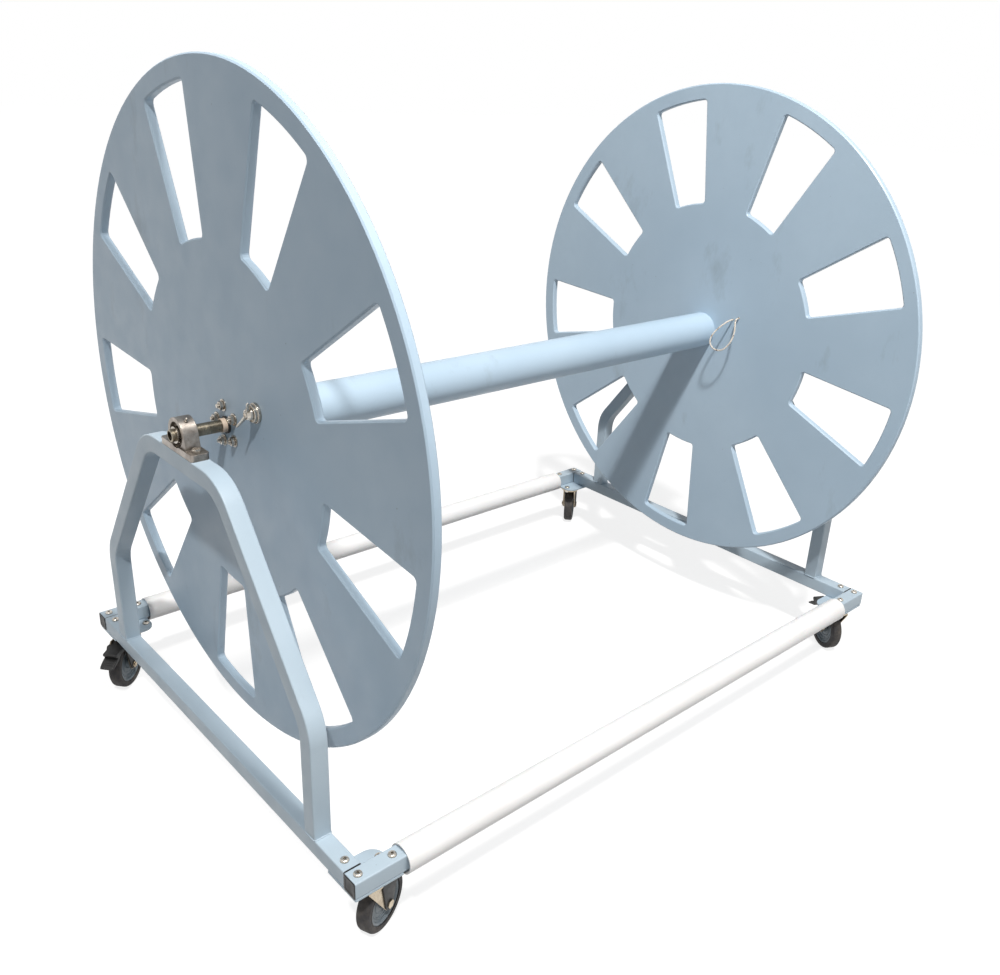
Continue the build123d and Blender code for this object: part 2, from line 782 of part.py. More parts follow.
def brake_pedal():
    """Plate bent over the tyre, hung on its pin, with a wide foot at the tip."""
    r0 = wheel_r + brake_gap
    r1 = r0 + brake_band
    a0 = atan2(brake_pin_z - wheel_r, brake_pin_x - trail)
    a1 = a0 - radians(brake_span)
    mid = (a0 + a1) / 2

    def at(r, a):
        return (trail + r * cos(a), wheel_r + r * sin(a))

    tip_low = (brake_tip_x, brake_tip_z - brake_band)
    tip_high = (brake_tip_x, brake_tip_z)
    outline = [ThreePointArc(at(r1, a0), at(r1, mid), at(r1, a1)), Line(at(r1, a1), tip_high),
               Line(tip_high, tip_low), Line(tip_low, at(r0, a1)),
               ThreePointArc(at(r0, a1), at(r0, mid), at(r0, a0)), Line(at(r0, a0), at(r1, a0))]
    side_on = Plane(origin=(0, 0, 0), x_dir=(1, 0, 0), z_dir=(0, -1, 0))
    band = extrude(side_on * make_face(outline), brake_tip_w / 2, both=True)
    neck = fork_leg_back + brake_neck_past
    wide = neck + brake_flare
    cut_x, cut_y = brake_tip_cut
    narrow, tip = brake_w / 2, brake_tip_w / 2
    half = [(0, narrow), (neck, narrow), (wide, tip), (brake_tip_x - cut_x, tip),
            (brake_tip_x, tip - cut_y)]
    plan = Polyline(*half, *[(x, -y) for x, y in reversed(half)], close=True)
    part = band & extrude(Plane.XY * make_face(plan), caster_height)
    barrel = fork_gap / 2 - brake_barrel_play
    barrel_r = brake_pin_r + brake_barrel_wall
    part += round_y(barrel_r, -barrel, barrel, brake_pin_x, brake_pin_z)
    pin = fork_gap / 2 + fork_wall + brake_pin_past
    return part + round_y(brake_pin_r, -pin, pin, brake_pin_x, brake_pin_z)


def build_all():
    for side, sx in sides.items():
        save(side + "_hoop", hoop(sx))
        save(side + "_base_beam", base_beam(sx))
        save(side + "_bearing_housing", bearing_housing(sx))
        save(side + "_disc", disc(sx))
    for end, sy in ends.items():
        save(end + "_crossbar", crossbar(sy))
        save(end + "_sleeve", sleeve(sy))

    bar_plugs, beam_plugs, plates = [], [], []
    for end, sy in ends.items():
        for side, sx in sides.items():
            corner = end + "_" + side
            z = beam_z + tube / 2
            turn = 0 if sx > 0 else 180
            place = Pos(sx * (stand_length / 2 - cap_inset), sy * bar_y, z) * Rot(0, 0, turn)
            bar_plugs.append(place * tube_plug(0))
            place = Pos(sx * beam_x, sy * beam_length / 2, z) * Rot(0, 0, 90 * sy)
            beam_plugs.append(place * tube_plug(plug_flange))
            save(corner + "_gusset", gusset(sx, sy))
            pivot = Pos(sx * pivot_x, sy * pivot_y, 0)
            plates.append(pivot * caster_plate())
            swivel = pivot * Rot(0, 0, swivels[(end, side)])
            save(corner + "_caster_fork", swivel * caster_fork())
            save_group(corner + "_caster_axle", [swivel * part for part in wheel_axle()])
            save(corner + "_caster_hub", swivel * caster_hub())
            save(corner + "_caster_tyre", swivel * caster_tyre())
            save(corner + "_brake_pedal", swivel * brake_pedal())
    save_group("crossbar_end_plugs", bar_plugs)
    save_group("beam_end_plugs", beam_plugs)
    save_group("caster_plates", plates)
    save_group("corner_bolts", corner_bolts())
    save_group("corner_nuts", corner_nuts())

    save_group("bearing_bolts", bearing_bolts())
    save_group("bearing_nuts", bearing_nuts())
    save_group("bearing_outer_rings", [bearing_outer_ring(s) for s in sides.values()])
    save_group("bearing_inner_rings", [bearing_inner_ring(s) for s in sides.values()])
    save_group("grease_nipples", [grease_nipple(s) for s in sides.values()])
    screws = [set_screw(place) for s in sides.values() for place in set_screw_places(s)]
    save_group("bearing_set_screws", screws)

    save("core_tube", core_tube())
    save_group("hub_plugs", [hub_plug(s) for s in sides.values()])
    save("axle_shaft", axle_shaft())
    studs, nuts, washers = [], [], []
    seals, collars = [], []
    for s in sides.values():
        parts = hub_fasteners(s)
        studs += parts[0]
        nuts += parts[1]
        washers += parts[2]
        x1 = s * (disc_outer + seal_ring_t)
        x2 = s * (disc_outer + seal_ring_t + collar_t)
        bore = axle_d / 2 + slip_play
        seals.append(disc_x(seal_ring_d / 2, s * disc_outer, x1, 0, axle_z, bore))
        collars.append(disc_x(collar_d / 2, x1, x2, 0, axle_z, bore))
    save_group("hub_studs", studs)
    save_group("hub_nuts", nuts)
    save_group("hub_washers", washers)
    save_group("hub_seal_rings", seals)
    save_group("shaft_collars", collars)

    save("wing_bolt", wing_bolt())
    washer = disc_z(wing_washer_d / 2, 0, wing_washer_t, bore=wing_bolt_d / 2 + thread_play)
    save("wing_washer", wing_place(-disc_outer) * washer)
    save("wing_nut", wing_place(-disc_outer - wing_washer_t) * wing_nut())
    save("rope_loop", rope_loop())
    save_group("rope_knots", [rope_knot(y, z) for y, z in rope_holes()])


build_all()
print("axle height", axle_z, "pivot", pivot_x, pivot_y, "sleeve drop", round(sleeve_drop(), 2))
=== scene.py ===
import json
from math import cos, hypot, pi, radians, sin, tan

import bmesh
import bpy
from mathutils import Matrix, Vector, geometry, noise


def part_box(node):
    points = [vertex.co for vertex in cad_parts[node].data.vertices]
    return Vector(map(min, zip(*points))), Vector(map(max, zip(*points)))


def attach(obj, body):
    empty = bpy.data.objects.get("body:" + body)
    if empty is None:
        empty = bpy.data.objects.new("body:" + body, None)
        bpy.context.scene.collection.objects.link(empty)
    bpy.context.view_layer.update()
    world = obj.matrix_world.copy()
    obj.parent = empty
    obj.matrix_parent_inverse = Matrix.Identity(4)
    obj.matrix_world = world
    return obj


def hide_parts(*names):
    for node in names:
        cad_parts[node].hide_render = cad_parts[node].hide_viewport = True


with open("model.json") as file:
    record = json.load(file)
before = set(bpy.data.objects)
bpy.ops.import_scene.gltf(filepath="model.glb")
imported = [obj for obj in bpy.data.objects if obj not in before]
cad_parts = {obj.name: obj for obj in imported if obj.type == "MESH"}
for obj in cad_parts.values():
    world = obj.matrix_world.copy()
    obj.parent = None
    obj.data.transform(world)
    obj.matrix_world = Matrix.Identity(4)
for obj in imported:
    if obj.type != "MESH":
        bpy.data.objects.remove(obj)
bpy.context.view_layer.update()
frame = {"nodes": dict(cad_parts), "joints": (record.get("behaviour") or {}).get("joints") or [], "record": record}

MM = 0.001
CORNERS = ["front_left", "front_right", "rear_left", "rear_right"]

# Camera, solved on the photograph: sizes in its pixels, angles in degrees
IMAGE_WIDTH = 1000
FOCAL = 968.7
CENTRE_RIGHT = 32.2
CENTRE_DOWN = 7.2
CAMERA_AT = (-1.598, -1.757, 1.559)
CAMERA_YAW = 43.83
CAMERA_PITCH = -23.40
CAMERA_ROLL = 3.21

# Way that the main light travels, found from the shadows on the two discs
SUN_WAY = (0.358, 0.377, -0.854)
SUN_STRENGTH = 1.65
SUN_ANGLE = 2.6
SUN_TINT = (1.0, 0.985, 0.965)
SKY_STRENGTH = 0.15
SKY_TINT = (0.96, 0.98, 1.0, 1)

# Panels by name: place, width and power. Neither reaches the left disc's outer
# face, and the first stands on the sun's line to the right disc.
PANELS = {
    "high": ((-0.70, -1.54, 4.2), 0.4, 118.0),
    "front": ((0.1, -3.2, 2.2), 1.6, 18.0),
}
PANEL_TINT = (1.0, 0.97, 0.93)
PANEL_AIM = (0, 0, 0.6)

FLOOR_COLOUR = 0.32
FLOOR_LIFT = 0.82
FLOOR_HALF = 30

# Rope loop: the route of its CAD solid from the right disc's inner face, as
# metres towards the reel, along Y and up from the axle line
ROPE_ROUTE = [
    (0.000, -0.110, 0.052), (0.013, -0.110, 0.052), (0.028, -0.105, 0.045),
    (0.042, -0.094, 0.030), (0.053, -0.084, 0.012), (0.059, -0.079, -0.008),
    (0.061, -0.088, -0.025), (0.058, -0.105, -0.033), (0.053, -0.122, -0.030),
    (0.047, -0.136, -0.016), (0.039, -0.143, 0.004), (0.033, -0.144, 0.025),
    (0.027, -0.139, 0.043), (0.020, -0.133, 0.055), (0.010, -0.130, 0.060),
    (0.000, -0.130, 0.060),
]
ROPE_DIAMETER = 0.0045
ROPE_LAY = 0.022  # one full turn of a strand
ROPE_STRANDS = 3
ROPE_STEP = 0.0006
ROPE_ROUND = 24
KNOT_SIZE = 0.00155
KNOT_OFF = 0.0050  # middle of a knot from the disc's outer face
KNOT_STEPS = 90

# Tail below each knot, in metres out from the disc, along Y and up from its hole
ROPE_TAIL = [(0.005, 0.003, -0.002), (0.009, 0.006, -0.008), (0.009, 0.009, -0.020),
             (0.006, 0.008, -0.030)]

# Pedal in the caster's own axes, in millimetres: (along, underside, top, half
# width) of its arm and of its two lobes. Ribs are given by their place along.
PEDAL_ARM = [
    (53.0, 133.9, 136.9, 15.6), (55.0, 133.2, 137.0, 16.2), (60.0, 131.6, 136.4, 16.4),
    (63.6, 130.2, 135.8, 16.5), (65.4, 129.4, 135.2, 22.6), (67.0, 128.7, 134.8, 24.2),
    (72.0, 126.3, 134.2, 24.5), (78.0, 122.9, 133.6, 21.8), (84.0, 118.0, 132.8, 18.8),
    (90.0, 110.5, 132.2, 18.5), (94.0, 107.0, 131.8, 18.5), (97.5, 106.2, 131.4, 18.3),
]
PEDAL_UPPER = [
    (93.0, 118.0, 131.8, 18.2), (98.0, 118.6, 131.5, 18.5), (101.5, 121.0, 131.3, 18.4),
    (104.2, 124.6, 130.8, 17.8), (105.6, 126.6, 129.6, 16.6),
]
PEDAL_LOWER = [
    (93.0, 107.2, 116.8, 18.2), (98.0, 105.6, 117.0, 18.5), (106.0, 103.2, 113.6, 18.5),
    (114.0, 100.8, 109.2, 18.5), (121.0, 98.4, 105.0, 18.2), (124.4, 97.6, 102.8, 17.4),
    (125.8, 98.8, 101.2, 16.0),
]
PEDAL_RIBS = [(107.5, 112.9), (112.5, 110.1), (117.5, 107.2)]
RIB = [(-1.0, -1.5, 0.2, 14.6), (-0.5, -1.5, 1.0, 15.0), (0.5, -1.7, 0.8, 15.0), (1.0, -1.7, 0.0, 14.6)]
PEDAL_PIN = (52.0, 131.5)
PIN_HALF = [(0.2, 21.1), (2.9, 21.1), (2.9, 17.0), (5.4, 17.0)]  # (radius, out from the middle)

# Plates beside the pedal: circles that their outline wraps, as (along, up,
# radius), and their section, as (out from the middle, share of the outline)
CHEEK_ROUNDS = [(35.0, 63.5, 13.0), (16.0, 122.0, 4.0), (16.0, 130.0, 4.0), (59.0, 130.0, 4.0),
                (59.0, 118.0, 4.0)]
CHEEK_SECTION = [(21.15, 1.0), (23.4, 1.0), (24.1, 0.985), (24.3, 0.96)]

# Wheel, in millimetres: the tyre as (depth below the tread, half width) and
# the centre as (radius, half width), the last with its depth below the tread
TYRE_CROWN = [(15.0, 15.0), (12.0, 15.0), (11.4, 14.7), (10.6, 15.0), (5.2, 15.0), (3.0, 14.0),
              (1.0, 12.0), (0.1, 9.6), (0.0, 6.0), (0.0, 0.0)]
WHEEL_FACE = [(5.1, 17.0), (10.5, 17.0), (12.5, 15.5), (13.5, 12.0), (15.0, 7.5), (23.0, 6.5), (24.0, 7.8),
              (25.5, 7.8), (26.5, 6.6), (33.0, 6.6), (34.0, 8.6), (36.0, 8.6), (37.0, 7.6), (41.0, 8.0),
              (42.5, 12.0), (44.0, 13.0), (46.5, 13.0)]
WHEEL_EDGE = (15.1, 12.2)

# Wing nut, in millimetres from the left disc's face: (outwards along the wing,
# away from the disc, half height, half thickness)
WING = [(5.0, 19.0, 4.6, 2.3), (10.0, 20.4, 5.2, 2.3), (17.0, 22.4, 4.7, 2.1), (25.0, 24.9, 4.0, 1.9),
        (33.0, 27.5, 3.5, 1.8), (38.0, 29.2, 3.1, 1.7), (40.2, 29.9, 2.3, 1.3), (41.2, 30.3, 1.0, 0.6)]
WING_ANGLE = 40.0

# Round pieces of the wing nut, as (radius, away from the disc) in millimetres
WASHER = [(6.5, 0.05), (19.6, 0.05), (20.2, 0.5), (20.2, 5.6), (19.6, 6.2), (17.6, 6.2), (17.3, 6.6),
          (17.3, 11.4), (16.8, 11.9), (6.5, 11.9)]
WING_HUB = [(6.45, 12.0), (11.6, 12.0), (12.0, 12.6), (11.4, 17.0), (10.2, 21.6), (9.2, 22.6),
            (8.6, 22.9), (6.45, 22.9)]
WING_BOLT = [(0.2, -25.0), (8.0, -24.8), (12.2, -23.4), (14.0, -20.6), (14.0, -19.1), (6.3, -19.1),
             (6.3, 11.0), (0.2, 11.0)]
WING_THREAD = (6.35, 2.0, 10.5, 24.8)  # radius, pitch, start and end

# Cap in a crossbar's end, as (out from the tube's end, half side) in millimetres
CAP = [(-9.0, 15.6), (-0.4, 15.9), (0.04, 18.1), (1.1, 18.1), (1.6, 17.5), (1.7, 13.2), (1.0, 12.4),
       (0.9, 3.0)]
PLUG_INSET = 0.6
CAP_EASE = 2.8

# Fasteners and welds, in millimetres
STUD_PITCH = 1.5
NUT_BORE = 4.8
WELD_SIZE = 2.1
WELD_RIPPLE = 0.4
WELD_WANDER = 0.3
WELD_STEPS = 240


# Places read from the frame


def middle(node):
    lo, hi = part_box(node)
    return (lo + hi) / 2


AXLE_Z = middle("core_tube").z
RIGHT_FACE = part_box("right_disc")[0].x


def joint_of(name):
    return next(j for j in frame["joints"] if j["name"] == name)


def solids_of(node):
    """Boxes of a node's separate solids, as (lowest corner, highest corner)."""
    bm = bmesh.new()
    bm.from_mesh(frame["nodes"][node].data)
    bmesh.ops.remove_doubles(bm, verts=bm.verts, dist=1e-6)
    left = set(bm.verts)
    boxes = []
    while left:
        reach = [left.pop()]
        lo, hi = reach[0].co.copy(), reach[0].co.copy()
        while reach:
            vert = reach.pop()
            lo = Vector(map(min, lo, vert.co))
            hi = Vector(map(max, hi, vert.co))
            for edge in vert.link_edges:
                other = edge.other_vert(vert)
                if other in left:
                    left.remove(other)
                    reach.append(other)
        boxes.append((lo, hi))
    bm.free()
    return sorted(boxes, key=lambda b: tuple(round(x, 4) for x in b[0]))


# Mesh helpers


def finished(name, bm, material, body, nodes=(), sharp=35):
    """The mesh as a shaded piece that rides on a body and stands for some nodes."""
    bmesh.ops.recalc_face_normals(bm, faces=bm.faces)
    mesh = bpy.data.meshes.new(name)
    bm.to_mesh(mesh)
    bm.free()
    for face in mesh.polygons:
        face.use_smooth = True
    mesh.set_sharp_from_angle(angle=radians(sharp))
    piece = bpy.data.objects.new(name, mesh)
    bpy.context.scene.collection.objects.link(piece)
    mesh.materials.append(material)
    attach(piece, body)
    if nodes:
        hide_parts(*nodes)
    return piece


def add_loft(bm, rings, place=Matrix.Identity(4), closed=False):
    """Faces through rings of points. Closed joins the last ring to the first."""
    rows = [[bm.verts.new(place @ Vector(p)) for p in ring] for ring in rings]
    pairs = list(zip(rows, rows[1:]))
    if closed:
        pairs.append((rows[-1], rows[0]))
    for row, following in pairs:
        count = len(row)
        for k in range(count):
            nxt = (k + 1) % count
            bm.faces.new((row[k], row[nxt], following[nxt], following[k]))
    if not closed:
        bm.faces.new(rows[0][::-1])
        bm.faces.new(rows[-1])


def circle(radius, height, count):
    angles = [2 * pi * k / count for k in range(count)]
    return [(radius * cos(a), radius * sin(a), height) for a in angles]


def metres(outline):
    """Pairs in millimetres, as metres."""
    return [(a * MM, b * MM) for a, b in outline]


def add_lathe(bm, profile, place=Matrix.Identity(4), count=64, closed=False):
    """A (radius, height) outline turned about local Z."""
    add_loft(bm, [circle(r, h, count) for r, h in profile], place, closed)


def slab_ring(x, low, high, half, ease):
    """Outline across local X of a block with eased edges."""
    ease = min(ease, 0.48 * (high - low), 0.9 * half)
    middles = [(half - ease, high - ease), (ease - half, high - ease), (ease - half, low + ease),
               (half - ease, low + ease)]
    ring = []
    for quarter, (y, z) in enumerate(middles):
        for k in range(6):
            a = (quarter + k / 5) * pi / 2
            ring.append((x, y + ease * cos(a), z + ease * sin(a)))
    return ring


def add_slab(bm, stations, place, ease=0.0022):
    """A moulded block through (along, underside, top, half width) in millimetres."""
    rings = [slab_ring(*(v * MM for v in station), ease) for station in stations]
    add_loft(bm, rings, place)


def add_fin(bm, stations, place, count=24):
    """A flattened bar along a line in the local XZ plane, in millimetres."""
    rings = []
    for k, (x, z, high, thick) in enumerate(stations):
        before, after = stations[max(k - 1, 0)], stations[min(k + 1, len(stations) - 1)]
        way = Vector((after[0] - before[0], 0, after[1] - before[1])).normalized()
        over = Vector((-way.z, 0, way.x))
        ring = []
        for j in range(count):
            c, s = cos(2 * pi * j / count), sin(2 * pi * j / count)
            c, s = (abs(v) ** 0.75 * (1 if v > 0 else -1) for v in (c, s))
            ring.append((Vector((x, 0, z)) + high * c * over + Vector((0, thick * s, 0))) * MM)
        rings.append(ring)
    add_loft(bm, rings, place)


def facing(point, direction, spin=0.0):
    """A place whose local Z points along direction."""
    turn = Vector(direction).to_track_quat("Z", "Y").to_matrix().to_4x4()
    return Matrix.Translation(point) @ turn @ Matrix.Rotation(spin, 4, "Z")


# Materials


class Tree:
    """Short calls that build a node tree."""

    def __init__(self, tree):
        self.tree = tree
        tree.nodes.clear()

    def node(self, kind, **settings):
        made = self.tree.nodes.new(kind)
        for key, value in settings.items():
            setattr(made, key, value)
        return made

    def link(self, a, b):
        self.tree.links.new(a, b)

    def feed(self, made, **values):
        """Sets or links the inputs of a node by name."""
        for key, value in values.items():
            self.join(value, made.inputs[key])
        return made

    def join(self, value, socket):
        if isinstance(value, bpy.types.NodeSocket):
            self.link(value, socket)
        else:
            socket.default_value = value

    def math(self, operation, a, b=0.5):
        made = self.node("ShaderNodeMath", operation=operation)
        for socket, value in zip(made.inputs, (a, b)):
            self.join(value, socket)
        return made.outputs["Value"]


class Graph(Tree):
    """A node material, with short calls for what these finishes are made of."""

    def __init__(self, name, **sockets):
        self.material = bpy.data.materials.new(name)
        self.material.use_nodes = True
        super().__init__(self.material.node_tree)
        out = self.node("ShaderNodeOutputMaterial")
        self.bsdf = self.node("ShaderNodeBsdfPrincipled")
        self.link(self.bsdf.outputs["BSDF"], out.inputs["Surface"])
        self.place = self.node("ShaderNodeTexCoord").outputs["Object"]
        for socket, value in sockets.items():
            self.bsdf.inputs[socket.replace("_", " ")].default_value = value

    def stretched(self, scale):
        """Object coordinates scaled by (x, y, z)."""
        mapping = self.node("ShaderNodeMapping")
        self.feed(mapping, Vector=self.place, Scale=scale)
        return mapping.outputs["Vector"]

    def noise(self, scale, detail=3.0, roughness=0.55, vector=None):
        made = self.node("ShaderNodeTexNoise")
        self.feed(made, Vector=vector or self.place, Scale=scale, Detail=detail, Roughness=roughness)
        return made.outputs["Fac"]

    def cells(self, scale, vector=None, feature="F1"):
        made = self.node("ShaderNodeTexVoronoi", feature=feature)
        self.feed(made, Vector=vector or self.place, Scale=scale)
        return made

    def span(self, value, low, high, to_low=0.0, to_high=1.0):
        made = self.node("ShaderNodeMapRange")
        made.inputs["Value"].default_value = 0.5
        self.feed(made, **{"Value": value, "From Min": low, "From Max": high,
                           "To Min": to_low, "To Max": to_high})
        return made.outputs["Result"]

    def blend(self, share, a, b):
        """Colour a where share is 0 and b where it is 1."""
        made = self.node("ShaderNodeMix", data_type="RGBA")
        for socket, value in ((made.inputs[0], share), (made.inputs[6], a), (made.inputs[7], b)):
            if isinstance(value, bpy.types.NodeSocket):
                self.link(value, socket)
            else:
                socket.default_value = (*value, 1.0)
        return made.outputs[2]

    def eased(self, radius):
        """The normal with sharp edges rounded over a radius."""
        made = self.node("ShaderNodeBevel", samples=4)
        made.inputs["Radius"].default_value = radius
        return made.outputs["Normal"]

    def bump(self, height, strength, distance, normal=None):
        made = self.node("ShaderNodeBump")
        self.feed(made, Height=height, Strength=strength, Distance=distance)
        if normal is not None:
            self.link(normal, made.inputs["Normal"])
        return made.outputs["Normal"]

    def surface(self, colour=None, roughness=None, normal=None):
        for socket, value in (("Base Color", colour), ("Roughness", roughness), ("Normal", normal)):
            if value is not None:
                self.link(value, self.bsdf.inputs[socket])
        return self.material


GRIME = (0.16, 0.19, 0.21)
PAINT_EDGE = 0.0012


def paint(name, pale, deep, smudges):
    """Satin enamel with slow drifts of tone, small dark specks and orange peel."""
    g = Graph(name, Coat_Weight=0.12, Coat_Roughness=0.25, Specular_IOR_Level=0.45)
    drift = g.span(g.noise(2.2, 3), 0.35, 0.65)
    colour = g.blend(drift, pale, deep)
    mottle = g.span(g.noise(38, 4, 0.6), 0.42, 0.75, 0, 0.22)
    colour = g.blend(mottle, colour, deep)
    rub = g.span(g.noise(7.5, 6, 0.68, g.stretched((1, 1, 0.45))), 0.60, 0.74, 0, 0.45 * smudges)
    colour = g.blend(rub, colour, GRIME)
    specks = g.cells(34)
    near = g.span(specks.outputs["Distance"], 0.035, 0.06, 1, 0)
    rare = g.span(g.noise(11, 2), 0.57, 0.60)
    colour = g.blend(g.math("MULTIPLY", g.math("MULTIPLY", near, rare), 0.55), colour, GRIME)
    rough = g.span(g.noise(19, 4), 0.3, 0.7, 0.36, 0.54)
    peel = g.noise(650, 2, 0.5)
    return g.surface(colour, rough, g.bump(peel, 0.10, 0.0004, g.eased(PAINT_EDGE)))


def white_pipe():
    """Smooth white plastic pipe, faintly scuffed along its length."""
    g = Graph("white_pipe", Specular_IOR_Level=0.5, Subsurface_Weight=0.03,
              Subsurface_Scale=0.004)
    colour = g.blend(g.span(g.noise(6, 4), 0.35, 0.7), (0.86, 0.86, 0.87), (0.80, 0.80, 0.80))
    scuffs = g.noise(30, 5, 0.7, g.stretched((0.25, 3, 3)))
    colour = g.blend(g.span(scuffs, 0.60, 0.78, 0, 0.35), colour, (0.58, 0.56, 0.53))
    rough = g.span(scuffs, 0.3, 0.7, 0.24, 0.46)
    return g.surface(colour, rough, g.bump(g.noise(120, 3), 0.06, 0.0004, g.eased(0.0008)))


def metal(name, bright, dark, rough_low, rough_high, grain, grain_scale, bump=0.15,
          edge=0.0004, crevice=0.004):
    """Bare metal with tone in patches, painted shade darkening its crevices, and a surface grain."""
    g = Graph(name, Metallic=1.0)
    patch = g.span(g.noise(45, 5, 0.6), 0.35, 0.68)
    colour = g.blend(patch, bright, dark)
    grains = g.noise(grain_scale, 4, 0.65, g.stretched(grain))
    colour = g.blend(g.span(grains, 0.5, 0.8, 0, 0.5), colour, dark)
    # Painted shade: ambient occlusion darkens the colour to near-black brown in crevices and where parts meet.
    hollow = g.node("ShaderNodeAmbientOcclusion", samples=4)
    hollow.inputs["Distance"].default_value = crevice
    crevice_shade = g.span(hollow.outputs["AO"], 0.35, 0.9, 0.75, 0)
    colour = g.blend(crevice_shade, colour, (0.045, 0.036, 0.028))
    rough = g.span(grains, 0.3, 0.75, rough_low, rough_high)
    return g.surface(colour, rough, g.bump(grains, bump, 0.0003, g.eased(edge)))


def plastic(name, pale, dark, rough_low, rough_high, scale=300, bump=0.12):
    """Moulded plastic or rubber with dust and a fine tooth."""
    g = Graph(name, Specular_IOR_Level=0.4)
    dust = g.span(g.noise(28, 5, 0.65), 0.45, 0.8)
    colour = g.blend(dust, dark, pale)
    tooth = g.noise(scale, 3, 0.6)
    rough = g.span(g.noise(60, 3), 0.3, 0.7, rough_low, rough_high)
    return g.surface(colour, rough, g.bump(tooth, bump, 0.0003, g.eased(0.0007)))


def rope_fibre():
    """Twisted off-white yarns with brown flecks and painted shade in the grooves between strands, in the rope's
    own coordinates.
    """
    g = Graph("rope_fibre", Roughness=0.85, Sheen_Weight=0.35, Sheen_Roughness=0.5)
    along = g.node("ShaderNodeUVMap", uv_map="lay").outputs["UV"]
    strand = g.feed(g.node("ShaderNodeSeparateXYZ"), Vector=along).outputs["X"]
    groove_shade = g.math("ABSOLUTE", g.math("SINE", g.math("MULTIPLY", strand, pi)))
    yarns = g.math("SINE", g.math("MULTIPLY", strand, 14 * pi))
    colour = g.blend(g.span(g.noise(350, 4), 0.4, 0.7), (0.84, 0.80, 0.72), (0.66, 0.58, 0.47))
    # Painted shade: the grooves between the strands are darkened to deep brown.
    colour = g.blend(g.span(groove_shade, 0.10, 0.48, 0.85, 0), colour, (0.23, 0.13, 0.08))
    fleck = g.cells(0.42, along)
    colour = g.blend(g.span(fleck.outputs["Distance"], 0.22, 0.30, 0.85, 0), colour, (0.17, 0.09, 0.05))
    return g.surface(colour, None, g.bump(yarns, 0.5, 0.0002))


MATERIALS = {
    "painted_tube": paint("tube_enamel", (0.46, 0.56, 0.64), (0.405, 0.50, 0.58), 0.35),
    "painted_disc": paint("disc_enamel", (0.45, 0.575, 0.69), (0.40, 0.522, 0.638), 0.6),
    "white_sleeve": white_pipe(),
    "black_plastic": plastic("black_plastic", (0.026, 0.025, 0.025), (0.008, 0.008, 0.008), 0.38, 0.55),
    "black_rubber": plastic("black_rubber", (0.03, 0.03, 0.03), (0.01, 0.01, 0.01), 0.5, 0.7),
    "cream_collar": plastic("cream_nylon", (0.78, 0.66, 0.54), (0.70, 0.56, 0.44), 0.4, 0.55),
    "hub_plate": plastic("hub_plate", (0.10, 0.10, 0.10), (0.06, 0.06, 0.06), 0.5, 0.6),
    "wheel_hub": plastic("wheel_centre", (0.33, 0.38, 0.42), (0.20, 0.24, 0.27), 0.34, 0.5),
    "wheel_tyre": plastic("tyre_rubber", (0.12, 0.105, 0.09), (0.036, 0.034, 0.036), 0.6, 0.8, 180, 0.3),
    "stainless": metal("stainless_steel", (0.66, 0.62, 0.56), (0.40, 0.36, 0.31), 0.16, 0.34,
                       (1, 1, 1), 240),
    "cast_housing": metal("cast_steel", (0.44, 0.40, 0.36), (0.20, 0.175, 0.155), 0.30, 0.52,
                          (1, 1, 1), 420, 0.5, 0.0012, 0.012),
    "axle_steel": metal("axle_steel", (0.33, 0.29, 0.22), (0.15, 0.13, 0.10), 0.24, 0.42,
                        (14, 1, 1), 30, 0.12),
    "zinc_steel": metal("zinc_steel", (0.56, 0.48, 0.36), (0.34, 0.27, 0.19), 0.22, 0.42,
                        (1, 1, 1), 160, 0.2, 0.0008, 0.010),
    "rope": rope_fibre(),
}


def dress_nodes():
    """Every CAD node gets its slot's material, welded and shaded smooth."""
    for part in frame["record"]["subparts"]:
        node = frame["nodes"][part["node"]]
        node.data.materials.clear()
        node.data.materials.append(MATERIALS[part["material_slot"]])
        for face in node.data.polygons:
            face.use_smooth = True
        weld = node.modifiers.new("weld", "WELD")
        weld.merge_threshold = 0.00001
        split = node.modifiers.new("split", "EDGE_SPLIT")
        split.split_angle = radians(28)


# Rope loop


def nurbs_points(points, samples=10):
    """Points along the smooth line that a route's control points make."""
    data = bpy.data.curves.new("route", "CURVE")
    data.dimensions = "3D"
    data.resolution_u = samples
    spline = data.splines.new("NURBS")
    spline.points.add(len(points) - 1)
    for point, place in zip(spline.points, points):
        point.co = (*place, 1.0)
    spline.order_u = 3
    spline.use_endpoint_u = True
    route = bpy.data.objects.new("route", data)
    bpy.context.scene.collection.objects.link(route)
    bpy.context.view_layer.update()
    mesh = bpy.data.meshes.new_from_object(route.evaluated_get(bpy.context.evaluated_depsgraph_get()))
    line = [vert.co.copy() for vert in mesh.vertices]
    bpy.data.objects.remove(route)
    bpy.data.meshes.remove(mesh)
    return line


def resampled(line, step):
    """The same line at even steps, with the distance along it."""
    lengths = [0.0]
    for a, b in zip(line, line[1:]):
        lengths.append(lengths[-1] + (b - a).length)
    count = max(int(lengths[-1] / step), 2)
    points, at = [], 0
    for k in range(count + 1):
        want = lengths[-1] * k / count
        while at < len(line) - 2 and lengths[at + 1] < want:
            at += 1
        part = (want - lengths[at]) / max(lengths[at + 1] - lengths[at], 1e-12)
        points.append((line[at].lerp(line[at + 1], part), want))
    return points


